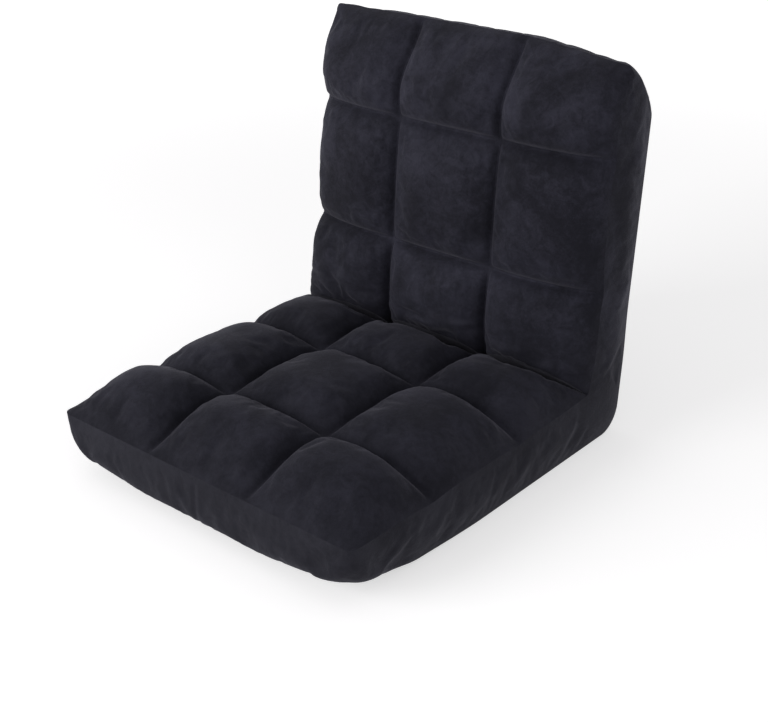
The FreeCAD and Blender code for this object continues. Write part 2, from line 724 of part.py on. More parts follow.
def pawl_spring():
    """A bent leaf, held against the fork's block, that presses the pawl into the wheel."""
    wall = polar(1.0, tip_angle)
    reach = pawl_pivot - wall * tooth_mean
    across = Vector(0, -reach.z, reach.y).normalize()
    outer_side = pawl_pivot - across * (PAWL_BOSS_RADIUS - PAWL_BACK)
    top = wall * (TIP_RADIUS + PAWL_TOP) + polar(PAWL_CLEARANCE, tip_angle + 90)
    t = SPRING_THICKNESS
    y1 = BLOCK_START - PIN_RUNNING
    height = BLOCK_HEIGHT / 2 - SPRING_SHORT
    away = across * -(t + SPRING_STANDOFF)
    free_end = top + away * 1.0
    middle = (outer_side + top) * 0.5 + away * SPRING_BOW
    points = [
        point(y1, SPRING_TAB),
        point(y1, -height),
        middle + away,
        free_end,
        free_end - away * 0.8,
        middle,
        point(y1 - t, -height + 2 * t),
        point(y1 - t, SPRING_TAB),
    ]
    x0 = (layers["wheel"][0] + layers["cam"][1] - SPRING_WIDTH) / 2
    return prism(polygon(points), x0, x0 + SPRING_WIDTH)


def pivot_rivet():
    """The rivet on the hinge axis, with a head outside each cheek."""
    inner = layers["inner_cheek"][0] - WASHER_THICKNESS - 2 * PIN_RUNNING
    outer = layers["outer_cheek"][1] + WASHER_THICKNESS + 2 * PIN_RUNNING
    rivet = bar(PIVOT_RADIUS, inner - STEM_END, outer + STEM_END)
    for x, direction in ((inner, -1), (outer, 1)):
        head = Part.makeCylinder(PIVOT_HEAD_RADIUS, PIVOT_HEAD_HEIGHT, Vector(x, 0, 0), X_AXIS * direction)
        far = x + direction * PIVOT_HEAD_HEIGHT
        rim = [e for e in head.Edges if abs(e.CenterOfMass.x - far) < 0.1]
        rivet = rivet.fuse(head.makeChamfer(0.5 * PIVOT_HEAD_HEIGHT, rim))
    return rivet.removeSplitter()


def pivot_washers():
    rings = []
    for x0, x1 in (
        (layers["inner_cheek"][0] - WASHER_THICKNESS - PIN_RUNNING, layers["inner_cheek"][0] - PIN_RUNNING),
        (layers["outer_cheek"][1] + PIN_RUNNING, layers["outer_cheek"][1] + WASHER_THICKNESS + PIN_RUNNING),
    ):
        rings.append(bar(PIVOT_HEAD_RADIUS + WASHER_OVERHANG, x0, x1).cut(bar(PIVOT_RADIUS + PIN_RUNNING, x0 - 1, x1 + 1)))
    return rings


def pawl_pin():
    inner = layers["inner_cheek"][0]
    outer = layers["outer_cheek"][1]
    pin = bar(PAWL_PIN_RADIUS, inner - STEM_END, outer + STEM_END, pawl_pivot)
    for x0 in (inner - PIN_RUNNING - PIN_HEAD_HEIGHT, outer + PIN_RUNNING):
        pin = pin.fuse(bar(PAWL_PIN_RADIUS + PIN_HEAD_RIM, x0, x0 + PIN_HEAD_HEIGHT, pawl_pivot))
    return pin.removeSplitter()


def spigot_rivets(sign):
    """A rivet through each tube leg and the spigot inside it, with low round heads."""
    made = []
    for s in (-1, 1):
        centre = Vector(0, sign * SPIGOT_RIVET_AT, 0)
        x = s * leg_x
        end = tube_radius + TUBE_RIVET_STEM
        rivet = bar(SMALL_RIVET_RADIUS, x - end, x + end, centre)
        for side in (-1, 1):
            start = centre + Vector(x + side * (tube_radius + PIN_RUNNING / 2), 0, 0)
            wide = SMALL_RIVET_RADIUS + TUBE_RIVET_RIM
            head = Part.makeCone(wide, SMALL_RIVET_RADIUS, TUBE_RIVET_HEIGHT, start, X_AXIS * side)
            rivet = rivet.fuse(head)
        made.append(rivet.removeSplitter())
    return made


def rear_pocket():
    """A cloth pocket across the back's rear face: sewn at its sides and foot, open at the top, and slack at the foot."""
    rear = -AXIS_HEIGHT - SOFT_GAP
    y0, y1 = POCKET_BOTTOM, POCKET_TOP
    low, high = rear - POCKET_SAG, rear - POCKET_MOUTH
    t = POCKET_CLOTH
    slack = y0 + POCKET_SLACK * (y1 - y0)
    outer = [
        line(point(y0, rear), point(y1, rear)),
        line(point(y1, rear), point(y1, high)),
        line(point(y1, high), point(slack, low)),
        arc(point(slack, low), point(y0 + 0.03 * (y1 - y0), low + 0.32 * POCKET_SAG), point(y0, rear)),
    ]
    inner = polygon(
        [
            point(y0 + 3 * t, rear + POCKET_HEM),
            point(y1 + POCKET_HEM, rear + POCKET_HEM),
            point(y1 + POCKET_HEM, high + t),
            point(slack, low + t),
            point(y0 + 3 * t, rear - 0.45 * POCKET_SAG),
        ]
    )
    x = POCKET_WIDTH / 2
    return prism(outer, -x, x).cut(prism(inner, -x + t, x - t))


# Placing


def to_seat(shape):
    """From a half drawn towards +Y to the seat's side."""
    placed = shape.copy()
    placed.rotate(ORIGIN, Z_AXIS, 180)
    return placed


def on_seat(shape):
    placed = shape.copy()
    placed.translate(Vector(0, HINGE_Y, AXIS_HEIGHT))
    return placed


def on_back(shape):
    placed = shape.copy()
    placed.rotate(ORIGIN, X_AXIS, RAISE)
    placed.translate(Vector(0, HINGE_Y, AXIS_HEIGHT))
    return placed


def mirrored(shape):
    return shape.mirror(ORIGIN, X_AXIS)


def save(name, shapes):
    shapes = shapes if isinstance(shapes, list) else [shapes]
    solids = [solid for shape in shapes for solid in shape.Solids]
    for solid in solids:
        if not solid.isValid() or solid.Volume <= 0:
            print("check", name)
    whole = solids[0] if len(solids) == 1 else Part.makeCompound(solids)
    whole.exportStep(os.path.join("parts", name + ".step"))


def save_half(prefix, length, tip_height, is_seat, place):
    """The frame, foam and cover of one half."""
    save(prefix + "_frame_tube", place(cut_cross_hole(frame_tube(length), 1)))
    save(prefix + "_cross_tube", place(cross_tube(length)))
    save(prefix + "_straps", [place(s) for s in straps(length)])
    under, over = foam(length, tip_height, is_seat)
    save(prefix + "_foam_under_frame", place(under))
    save(prefix + "_foam_over_frame", place(over))
    base = cover_base(length, tip_height, is_seat)
    if is_seat:
        for x in (-leg_x, leg_x):
            base = base.cut(roll_slot(x - hinge_room, x + hinge_room))
    save(prefix + "_cover_base", place(max(base.Solids, key=lambda s: s.Volume)))


def save_tufts(prefix, rows, row_names, column_names, place):
    for (row, column), solid in rows.items():
        save("_".join((prefix, "tuft", row_names[row], column_names[column])), place(solid))


def save_hinge(side_name, place_side):
    seat_pieces = {
        "seat_arm": seat_arm(),
        "ratchet_wheel": ratchet_wheel(),
        "wheel_rivets": wheel_rivets(),
        "pivot_rivet": pivot_rivet(),
        "pivot_washers": pivot_washers(),
    }
    back_pieces = {
        "back_arm": back_arm(),
        "pawl": pawl(),
        "pawl_pin": pawl_pin(),
        "pawl_spring": pawl_spring(),
        "release_cam": release_cam(),
    }
    for pieces, place in ((seat_pieces, on_seat), (back_pieces, on_back)):
        for name, shape in pieces.items():
            group = shape if isinstance(shape, list) else [shape]
            save(name + "_" + side_name, [place(place_side(s)) for s in group])


os.makedirs("parts", exist_ok=True)

save_half("seat", SEAT_LENGTH, SEAT_TIP_HEIGHT, True, lambda s: on_seat(to_seat(s)))
save_half("back", BACK_LENGTH, BACK_TIP_HEIGHT, False, on_back)
save("seat_spigot_rivets", [on_seat(s) for s in spigot_rivets(-1)])
save("back_spigot_rivets", [on_back(s) for s in spigot_rivets(1)])

seat_tufts = tufts(SEAT_ROWS_START, SEAT_ROW_LENGTHS, SEAT_CREST, CREASE_ANGLE)
back_tufts = tufts(BACK_ROWS_START, BACK_ROW_LENGTHS, BACK_CREST, 180 - RAISE - CREASE_ANGLE)
# turning the seat round puts its first column on the +X side
save_tufts("seat", seat_tufts, ("rear", "middle", "front"), ("left", "centre", "right"), lambda s: on_seat(to_seat(s)))
save_tufts("back", back_tufts, ("low", "middle", "top"), ("right", "centre", "left"), on_back)

save_hinge("left", lambda s: s)
save_hinge("right", mirrored)
save("rear_pocket", on_back(rear_pocket()))
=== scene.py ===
import json
import math
from dataclasses import dataclass

import bmesh
import bpy
from mathutils import Matrix, Vector, noise
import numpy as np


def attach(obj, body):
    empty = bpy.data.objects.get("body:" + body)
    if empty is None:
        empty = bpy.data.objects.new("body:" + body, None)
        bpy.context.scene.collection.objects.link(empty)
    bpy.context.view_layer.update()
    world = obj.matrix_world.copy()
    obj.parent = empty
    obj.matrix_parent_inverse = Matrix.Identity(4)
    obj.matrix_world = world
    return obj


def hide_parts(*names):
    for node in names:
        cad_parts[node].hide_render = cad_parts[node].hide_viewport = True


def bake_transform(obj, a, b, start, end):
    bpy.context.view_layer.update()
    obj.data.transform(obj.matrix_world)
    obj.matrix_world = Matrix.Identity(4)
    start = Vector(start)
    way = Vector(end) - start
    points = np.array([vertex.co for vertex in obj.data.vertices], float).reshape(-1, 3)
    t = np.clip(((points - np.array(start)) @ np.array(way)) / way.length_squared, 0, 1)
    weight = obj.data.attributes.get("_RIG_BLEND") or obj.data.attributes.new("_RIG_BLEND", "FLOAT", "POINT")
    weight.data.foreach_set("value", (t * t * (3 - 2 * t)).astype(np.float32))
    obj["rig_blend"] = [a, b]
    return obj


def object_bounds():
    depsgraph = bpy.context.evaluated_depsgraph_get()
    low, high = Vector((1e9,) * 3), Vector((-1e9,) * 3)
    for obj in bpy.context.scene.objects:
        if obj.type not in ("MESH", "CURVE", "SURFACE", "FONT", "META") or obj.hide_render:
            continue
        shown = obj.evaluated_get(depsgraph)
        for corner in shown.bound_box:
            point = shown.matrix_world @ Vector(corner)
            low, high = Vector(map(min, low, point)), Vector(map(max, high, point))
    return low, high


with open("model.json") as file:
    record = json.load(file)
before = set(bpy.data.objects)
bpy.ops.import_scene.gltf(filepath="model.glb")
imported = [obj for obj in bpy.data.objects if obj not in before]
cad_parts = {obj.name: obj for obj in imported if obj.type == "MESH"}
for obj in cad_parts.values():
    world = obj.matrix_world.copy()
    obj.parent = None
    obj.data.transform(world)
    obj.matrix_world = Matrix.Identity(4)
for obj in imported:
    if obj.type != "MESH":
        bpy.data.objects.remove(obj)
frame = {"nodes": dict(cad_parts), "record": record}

cad_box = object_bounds()
MM = 0.001
joints = {j["name"]: j for j in frame["record"]["behaviour"]["joints"]}
HINGE = Vector(joints["recline"]["pos_m"])
RAISE = math.radians(joints["recline"]["range_deg"][1])  # the back's angle above flat, at rest

# Sizes of the cover, in millimetres. "Along" is the distance from the hinge axis, out along the seat or the
# back, and "above" the height over its frame.
HALF_WIDTH = (cad_box[1].x - cad_box[0].x) / 2 / MM
FLOOR_DROP = HINGE.z / MM  # the underside below the hinge axis, and the roll's radius
COLUMNS = 3
ROWS = 3
ROW_CELLS = (27, 34, 42)  # from the tip to the crease
COLUMN_CELLS = 34
SIDE_CELLS = 20
LENGTH_CELLS = sum(ROW_CELLS)
CREASE = math.radians(41.0)  # the crease above the seat's frame
PIT = 62.0  # bottom of the crease from the hinge axis
SIDE_PIT = 82.0  # the same at the side seams
CREASE_INSET = 4.0  # of the side seams there, from the full width
FOOT_TUCK = 16.0  # of the lower seams, everywhere
CREASE_OPENING = math.radians(5.0)  # between the two halves' squashed faces and the crease
CREASE_SOFTNESS = 6.0
CREASE_SWELL = (5.0, 0.4)  # of the tufts towards the crease, as Half's swells
BLEND_BAND = 10.0  # of cloth that turns with the joint, either side of the crease
BOXING_BULGE = 6.0
SIDE_SWELL = 6.0  # of the outer tufts past their side seam
SEAM_PULL = 26.0  # how far along the side seam a row's seam draws it down
SEAM_WELD = 0.00002  # in metres
LUMPS = 2.5  # height of the lumps in the stuffing
LUMP_SIZE = 52.0
FOLD_LENGTH = 60.0  # of the folds beside the crease
FOLD_WIDTH = 12.0
FOLD_SHARE = (0.3, 0.35)  # where in the crease's row they start and how far on they are full
JOIN_WIDTH = 3.5  # of the upright seam where the boxing's ends are joined, at the seat's front
SLIM_ALONG = (60.0, 90.0)  # where the back gets slimmer than the roll, and how far on it is full
DROOP = 15.0  # of the back's top corner on the +X side
DROOP_ALONG = (370.0, 110.0)  # the same for this, along
DROOP_ACROSS = (70.0, 190.0)  # and across
LIFT_ALONG = (-170.0, 200.0)  # the same for the lower seam's corners, along from flat_end
LIFT_ACROSS = (90.0, 110.0)


def mix(a, b, share):
    return a + (b - a) * share


def clamp(value, low=0.0, high=1.0):
    return max(low, min(high, value))


def smooth(share):
    share = clamp(share)
    return share * share * (3 - 2 * share)


def ramp(value, band):
    """0 up to the band's start, 1 from its length past that."""
    return smooth((value - band[0]) / band[1])


@dataclass
class Half:
    """The seat or the back in its own side view: along from the hinge axis, above the frame."""

    is_seat: bool
    crease: float  # angle of the crease above this half's frame
    roll_turn: float  # angle through which its underside goes round the roll
    rows: tuple  # along, of the seams across, from the tip's
    valley: float  # above, of the seams between tufts
    side: float  # of the side seams
    end_seam: float  # and of the tip's
    crests: tuple  # each row's tufts over the valleys
    inset: float  # of the side seams from the full width
    dip: float  # of the side seams at a row's seam
    foot: tuple  # lower seam of the tip's boxing
    end_handles: tuple  # of the boxing's curve at the tip, upper and lower
    flat_end: float  # along, where the underside starts to turn up
    rise: tuple  # how far on and how high it turns up
    slim: float  # by which the half is thinner than the roll
    seam_corner: float  # plan radius of the tip's corners at the upper seam
    foot_corner: float  # and at the lower one
    corner_lift: float  # of the lower seam at its corners
    tuft_swell: tuple  # power and blunting of a tuft towards its neighbour
    side_swell: tuple  # towards a side seam
    tip_swell: tuple  # towards the tip's seam
    squash: float  # depth of the folds where the crease squashes it
    join_depth: float  # of the upright seam in the middle of the tip's boxing
    seed: float  # of its lumps

    def place(self, x, along, above):
        """A point of this half in the shared frame, in metres."""
        if self.is_seat:
            return Vector((x * MM, HINGE.y - along * MM, HINGE.z + above * MM))
        along -= DROOP * ramp(x, DROOP_ACROSS) * ramp(along, DROOP_ALONG)
        c, s = math.cos(RAISE), math.sin(RAISE)
        y, z = along * c - above * s, along * s + above * c
        return Vector((x * MM, HINGE.y + y * MM, HINGE.z + z * MM))

    def underside(self, along):
        """Height of the underside, which turns up towards the tip."""
        run, rise = self.rise
        radius = (run * run + rise * rise) / (2 * rise)
        past = max(0.0, along - self.flat_end)
        slim = self.slim * ramp(along, SLIM_ALONG)
        return -FLOOR_DROP + slim + radius - math.sqrt(radius * radius - past * past)

    def reach(self, station):
        """Half the width between the side seams. Both halves meet at the crease."""
        near = smooth((station - ROW_CELLS[0]) / (LENGTH_CELLS - ROW_CELLS[0]))
        return HALF_WIDTH - mix(self.inset, CREASE_INSET, near)

    def pit(self, radius):
        return radius * math.cos(self.crease), radius * math.sin(self.crease)

    def near_seam(self, station):
        """1 on a row's seam, falling to 0 within the row."""
        row, share = row_of(station)
        ends = (*self.rows, 0.0)
        length = ends[row] - ends[row + 1]
        gaps = [share * length if row else 999.0, (1 - share) * length if row < ROWS - 1 else 999.0]
        return math.exp(-((min(gaps) / SEAM_PULL) ** 2))


def row_of(station):
    """Row and share of it, 0 at its seam nearer the tip, for a station in cells from the tip's seam."""
    for row, cells in enumerate(ROW_CELLS):
        if station <= cells or row == ROWS - 1:
            return row, station / cells
        station -= cells


def seam_line(half, station, valley):
    """Along and above of a lengthwise seam: the valley between tufts, or else the side seam."""
    row, share = row_of(station)
    end_height = half.valley if valley else half.side - half.dip * half.near_seam(station)
    if row == 0:
        along = mix(half.rows[0], half.rows[1], share)
        above = mix(half.end_seam, end_height, smooth(share * 1.4) if valley else smooth(share * 2))
        return along, above
    if row == 1:
        return mix(half.rows[1], half.rows[2], share), end_height
    pit = half.pit(PIT if valley else SIDE_PIT)
    along = mix(half.rows[2], pit[0], share)
    fall = share**4 if valley else share**3
    return along, mix(end_height, pit[1], fall)


def foot_line(half, station):
    """Along and above of the lower seam, which goes round the roll to the crease's far side."""
    row, share = row_of(station)
    if row < 2:
        outer = half.foot[0] if row == 0 else half.rows[1]
        along = mix(outer, half.rows[row + 1], share)
        if row == 0:
            lift = half.foot[1] - half.underside(half.foot[0])
            return along, half.underside(along) + lift * (1 - share) ** 2
        return along, half.underside(along)
    flat = half.rows[2]
    gone = share * (flat + FLOOR_DROP * half.roll_turn)
    if gone < flat:
        return flat - gone, half.underside(flat - gone)
    turn = (gone - flat) / FLOOR_DROP
    return -FLOOR_DROP * math.sin(turn), -FLOOR_DROP * math.cos(turn)


def round_corner(x, along, width, end, radius):
    """Draws a square plan corner in to a quarter circle."""
    p = (abs(x) - (width - radius)) / radius
    q = (along - (end - radius)) / radius
    if p <= 0 or q <= 0:
        return x, along
    p, q = min(p, 1.0), min(q, 1.0)
    p, q = p * math.sqrt(1 - q * q / 2), q * math.sqrt(1 - p * p / 2)
    return math.copysign(width - radius + p * radius, x), end - radius + q * radius


def swell(share, power, blunt):
    """Height of a tuft between two seams for a share from -1 to 1: steep at the seams, flat in the middle."""
    return max(0.0, 1 - abs(share) ** power) ** blunt


def column_x(across, reach):
    """The column and the x of a place across the panel, from 0 to COLUMNS, for the half width there."""
    column = min(int(across), COLUMNS - 1)
    inner_x = HALF_WIDTH / COLUMNS
    edges = (-reach, -inner_x, inner_x, reach)
    return column, mix(edges[column], edges[column + 1], across - column)


def top_point(half, across, station):
    """The quilted panel. across runs from 0 to COLUMNS, station from the tip's seam to the crease."""
    reach = half.reach(station)
    column, x = column_x(across, reach)
    p = 2 * (across - column) - 1
    row, share = row_of(station)
    q = 2 * share - 1
    inner = seam_line(half, station, True)
    side = seam_line(half, station, False)
    outward = -p if column == 0 else p if column == COLUMNS - 1 else -1.0
    edge = ((1 + outward) / 2) ** 3
    along, above = mix(inner[0], side[0], edge), mix(inner[1], side[1], edge)
    rise = swell(p, *(half.side_swell if outward > 0 else half.tuft_swell))
    if row == 2 and q > 0:
        rise *= swell(q, *CREASE_SWELL)
    elif row == 0 and q < 0:
        rise *= swell(q, *half.tip_swell)
    else:
        rise *= swell(q, *half.tuft_swell)
    above += half.crests[row] * rise + crumple(half, x, along, row, share) * rise
    x += math.copysign(SIDE_SWELL * rise * max(0.0, outward), x)
    if row == 2 and edge < 1:
        along, above = press(half, along, above, edge)
    x, along = round_corner(x, along, reach, half.rows[0], half.seam_corner)
    return x, along, above


def crumple(half, x, along, row, share):
    """Lumps in the stuffing, and folds across the squares that the crease squashes."""
    lumps = LUMPS * noise.noise(Vector((x / LUMP_SIZE, along / LUMP_SIZE, half.seed)))
    if row < 2:
        return lumps
    folds = noise.noise(Vector((x / FOLD_LENGTH, along / FOLD_WIDTH, half.seed)))
    return lumps + half.squash * folds * ramp(share, FOLD_SHARE)


def press(half, along, above, edge):
    """Flattens what reaches past the crease against the other half, along a plane that opens from the pit."""
    foot = half.pit(mix(PIT, SIDE_PIT, edge))
    angle = half.crease - CREASE_OPENING
    direction = (math.cos(angle), math.sin(angle))
    rel = (along - foot[0], above - foot[1])
    past = rel[1] * direction[0] - rel[0] * direction[1]
    depth = past / CREASE_SOFTNESS
    push = CREASE_SOFTNESS * math.log1p(math.exp(clamp(depth, -30, 30)))
    push = max(0.0, push - CREASE_SOFTNESS * math.log(2) * math.exp(-(depth**2)))
    return along + push * direction[1], above - push * direction[0]


def end_curve(half, t):
    """The tip's boxing in side view, t from the lower seam up."""
    low, high = half.foot, (half.rows[0], half.end_seam)
    upper, lower = half.end_handles
    weights = ((1 - t) ** 3, 3 * t * (1 - t) ** 2, 3 * t * t * (1 - t), t**3)
    return [sum(w * c[axis] for w, c in zip(weights, (low, lower, upper, high))) for axis in (0, 1)]


def level(half, t, station=0.0):
    """Half width, tip and corner radius of the boxing at t from its lower seam to its upper one."""
    width = mix(HALF_WIDTH - FOOT_TUCK, half.reach(station), t) + BOXING_BULGE * 4 * t * (1 - t)
    return width, end_curve(half, t)[0], mix(half.foot_corner, half.seam_corner, t**0.7)


def lift_corner(half, x, along, t):
    """Height by which the lower seam rises towards the tip's corners."""
    return half.corner_lift * ramp(abs(x), LIFT_ACROSS) * ramp(along - half.flat_end, LIFT_ALONG) * (1 - t)


def side_point(half, side, t, station):
    """The boxing's long side, t from the foot up."""
    foot = foot_line(half, station)
    seam = seam_line(half, station, False)
    along, above = mix(foot[0], seam[0], t), mix(foot[1], seam[1], t)
    row, share = row_of(station)
    if row == 0:
        curve = end_curve(half, t)
        start = (mix(half.foot[0], half.rows[0], t), mix(half.foot[1], half.end_seam, t))
        fade = 1 - smooth(share * 1.5)
        along += (curve[0] - start[0]) * fade
        above += (curve[1] - start[1]) * fade
    width, end, radius = level(half, t, station)
    x, along = round_corner(side * width, along, width, end, radius)
    return x, along, above + lift_corner(half, x, along, t)


def end_point(half, across, t):
    """The boxing across the tip."""
    width, end, radius = level(half, t)
    x, along = round_corner(column_x(across, width)[1], end, width, end, radius)
    along -= half.join_depth * math.exp(-((x / JOIN_WIDTH) ** 2)) * math.sqrt(4 * t * (1 - t))
    return x, along, end_curve(half, t)[1] + lift_corner(half, x, along, t)


def under_point(half, across, station):
    """The underside."""
    along, above = foot_line(half, station)
    width, end, radius = level(half, 0.0, station)
    x, along = round_corner(column_x(across, width)[1], along, width, end, radius)
    return x, along, above + lift_corner(half, x, along, 0.0)


SEAT = Half(
    is_seat=True,
    crease=CREASE,
    roll_turn=math.pi / 2 - CREASE,
    rows=(531.0, 390.0, 216.0),
    valley=72.0,
    side=50.0,
    end_seam=51.0,
    crests=(32.0, 32.0, 29.0),
    inset=3.0,
    dip=3.0,
    foot=(510.0, -18.0),
    end_handles=((536.0, 1.0), (541.1, -20.0)),
    flat_end=435.0,
    rise=(108.0, 34.0),
    slim=0.0,
    seam_corner=11.6,
    foot_corner=112.0,
    corner_lift=9.0,
    tuft_swell=(3.0, 0.6),
    side_swell=(2.2, 0.8),
    tip_swell=(2.0, 0.9),
    squash=2.8,
    join_depth=2.2,
    seed=1.0,
)
BACK = Half(
    is_seat=False,
    crease=math.pi - RAISE - CREASE,
    roll_turn=RAISE - math.pi / 2 + CREASE,
    rows=(490.0, 360.0, 185.0),
    valley=74.0,
    side=53.0,
    end_seam=36.0,
    crests=(26.0, 24.0, 31.0),
    inset=12.0,
    dip=5.0,
    foot=(472.0, -10.0),
    end_handles=((490.0, 39.0), (494.6, 6.0)),
    flat_end=400.0,
    rise=(108.0, 62.0),
    slim=4.0,
    seam_corner=5.0,
    foot_corner=64.0,
    corner_lift=0.0,
    tuft_swell=(4.0, 0.5),
    side_swell=(3.2, 0.6),
    tip_swell=(2.9, 0.6),
    squash=7.0,
    join_depth=0.0,
    seed=5.0,
)


def patch(bm, columns, rows, place, tag, seams=()):
    """A grid of the given number of cells, each vertex put where place says for its column and row.

    seams has the columns and rows of cells where the panel is sewn down and the row of the crease, for the
    layer that holds them in the simulation. Without it the whole panel is held."""
    held = bm.verts.layers.float["held"]
    made = bmesh.ops.create_grid(bm, x_segments=columns, y_segments=rows, size=1.0)
    for vertex in made["verts"]:
        i = (vertex.co.x + 1) / 2 * columns
        j = (vertex.co.y + 1) / 2 * rows
        vertex.co = place(i, j)
        vertex[held] = held_share(i, j, *seams) if seams else 1.0
    for face in {face for vertex in made["verts"] for face in vertex.link_faces}:
        face.material_index = tag
        face.smooth = True


TOP, BOXING, UNDER = 0, 1, 2
HELD_CELLS = 1.2  # full hold beside a seam
FREE_CELLS = 3.4  # and none from here on
CREASE_CELLS = 7.0  # of full hold beside the crease


def held_share(i, j, columns, rows, crease):
    """How firmly a point is held: 1 on a seam and in the crease, 0 within a tuft."""
    gaps = [abs(i - c) for c in columns] + [abs(j - r) for r in rows]
    if crease:
        gaps.append(max(0.0, crease - CREASE_CELLS - j))
    return 1 - clamp((min(gaps) - HELD_CELLS) / (FREE_CELLS - HELD_CELLS))


def rows_of_cells():
    """Cells from the tip to each row's seam."""
    return [sum(ROW_CELLS[:n]) for n in range(ROWS + 1)]


def cover_mesh():
    """The whole cover as one closed shell, its faces tagged by panel."""
    bm = bmesh.new()
    bm.verts.layers.float.new("held")
    width_cells = COLUMNS * COLUMN_CELLS
    columns = [n * COLUMN_CELLS for n in range(COLUMNS + 1)]
    quilting = (columns, rows_of_cells(), LENGTH_CELLS)
    for half in (SEAT, BACK):
        def top(i, j):
            return half.place(*top_point(half, i / COLUMN_CELLS, j))

        def under(i, j):
            return half.place(*under_point(half, i / COLUMN_CELLS, j))

        def end(i, j):
            return half.place(*end_point(half, i / COLUMN_CELLS, j / SIDE_CELLS))

        patch(bm, width_cells, LENGTH_CELLS, top, TOP, quilting)
        patch(bm, width_cells, LENGTH_CELLS, under, UNDER)
        patch(bm, width_cells, SIDE_CELLS, end, BOXING, ((), (0, SIDE_CELLS), None))
        for side in (-1, 1):
            def flank(i, j):
                return half.place(*side_point(half, side, i / SIDE_CELLS, j))

            patch(bm, SIDE_CELLS, LENGTH_CELLS, flank, BOXING, ((0, SIDE_CELLS), (), LENGTH_CELLS))
    bmesh.ops.remove_doubles(bm, verts=bm.verts, dist=SEAM_WELD)
    bmesh.ops.recalc_face_normals(bm, faces=bm.faces)
    lowest = min(bm.faces, key=lambda face: face.calc_center_median().z)
    if lowest.normal.z > 0:
        bmesh.ops.reverse_faces(bm, faces=bm.faces)
    return bm


def piece(name, bm, material):
    """An object from the bmesh, which is freed."""
    mesh = bpy.data.meshes.new(name)
    bm.to_mesh(mesh)
    bm.free()
    made = bpy.data.objects.new(name, mesh)
    bpy.context.scene.collection.objects.link(made)
    mesh.materials.append(material)
    return made


# Materials


class Socket:
    """An output socket, with Python's own operators on it."""

    def __init__(self, tree, socket):
        self.tree = tree
        self.socket = socket

    def math(self, operation, *others):
        values = {n: other for n, other in enumerate((self,) + others)}
        return node(self.tree, "ShaderNodeMath", {"operation": operation}, values)

    def __add__(self, other):
        return self.math("ADD", other)

    __radd__ = __add__

    def __mul__(self, other):
        return self.math("MULTIPLY", other)

    __rmul__ = __mul__

    def __sub__(self, other):
        return self.math("SUBTRACT", other)

    def __rsub__(self, other):
        return node(self.tree, "ShaderNodeMath", {"operation": "SUBTRACT"}, {0: other, 1: self})

    def clamped(self):
        return node(self.tree, "ShaderNodeClamp", {}, {"Value": self})


def node(tree, kind, settings, values, output=0):
    """A node of the kind, its settings made first, then the values or links of its sockets."""
    made = tree.nodes.new(kind)
    for name, value in settings.items():
        setattr(made, name, value)
    for name, value in values.items():
        socket = made.inputs[name]
        if isinstance(value, Socket):
            tree.links.new(value.socket, socket)
        else:
            socket.default_value = value
    return Socket(tree, made.outputs[output])


def new_material(name, **fixed):
    """A material with its Principled shader's fixed values set."""
    material = bpy.data.materials.new(name)
    material.use_nodes = True
    tree = material.node_tree
    shader = tree.nodes["Principled BSDF"]
    for socket, value in fixed.items():
        shader.inputs[socket.replace("_", " ")].default_value = value
    return material, tree, shader


SEAT_PAINTED_LIGHT = 0.32  # painted shade: share of the lighter patch colour shown on the seat, kept low so that the seat's top looks darker, as if less lit
BACK_PAINTED_LIGHT = 1.0  # and on the back, in full, so that it looks lighter, as painted light


def velvet(name, base, brushed, turn=0.0):
    """Short-pile velvet: dark, with patches where the nap is brushed the other way and fine crush marks, and
    painted shade that keeps the low seat darker than the back.
    """
    sheen = {"Sheen_Weight": 0.085, "Sheen_Roughness": 0.42, "Sheen_Tint": (0.84, 0.82, 1.0, 1)}
    material, tree, shader = new_material(name, Specular_IOR_Level=0.16, **sheen)
    place = node(tree, "ShaderNodeTexCoord", {}, {}, "Object")
    turned = node(tree, "ShaderNodeMapping", {}, {"Vector": place, "Rotation": (0, 0, turn)})
    broad = fabric_noise(tree, turned, 8.0, 5.0, 0.62, 0.6)
    fine = fabric_noise(tree, turned, 55.0, 5.0, 0.72, 0.9)
    crush = fabric_noise(tree, turned, 210.0, 3.0, 0.7, 1.2)
    pile = fabric_noise(tree, turned, 1100.0, 2.0, 0.6)
    nap = broad * 0.52 + fine * 0.3 + crush * 0.18
    patches = {"Value": nap, "From Min": 0.38, "From Max": 0.66}
    mask = node(tree, "ShaderNodeMapRange", {"interpolation_type": "SMOOTHSTEP"}, patches)
    # Painted shade and light by height: low down, on the seat, less of the lighter colour shows; higher up,
    # on the back, all of it.
    up = node(tree, "ShaderNodeSeparateXYZ", {}, {"Vector": place}, "Z")
    painted_shade_by_height = {"Value": up, "From Min": 0.07, "From Max": 0.2, "To Min": SEAT_PAINTED_LIGHT, "To Max": BACK_PAINTED_LIGHT}
    painted_light_share = node(tree, "ShaderNodeMapRange", {}, painted_shade_by_height)
    height = pile * 0.35 + crush * 0.5 + fine * 0.9
    wire_up(tree, shader, (mask * painted_light_share).clamped(), (base, brushed), 0.9 - mask * 0.16, height, (0.32, 0.0022))
    return material


def wire_up(tree, shader, share, colours, rough, height, bump):
    """Mixes two colours by the share, and joins the roughness and bumps of a given strength and depth."""
    mixed = {"Factor": share, "A": (*colours[0], 1), "B": (*colours[1], 1)}
    colour = node(tree, "ShaderNodeMix", {"data_type": "RGBA"}, mixed, "Result")
    tree.links.new(colour.socket, shader.inputs["Base Color"])
    tree.links.new(rough.socket, shader.inputs["Roughness"])
    bumps = {"Height": height, "Strength": bump[0], "Distance": bump[1]}
    tree.links.new(node(tree, "ShaderNodeBump", {}, bumps, "Normal").socket, shader.inputs["Normal"])


def fabric_noise(tree, place, scale, detail, roughness, distortion=0.0):
    values = {"Vector": place, "Scale": scale, "Detail": detail}
    values.update({"Roughness": roughness, "Distortion": distortion})
    return node(tree, "ShaderNodeTexNoise", {}, values, "Fac")


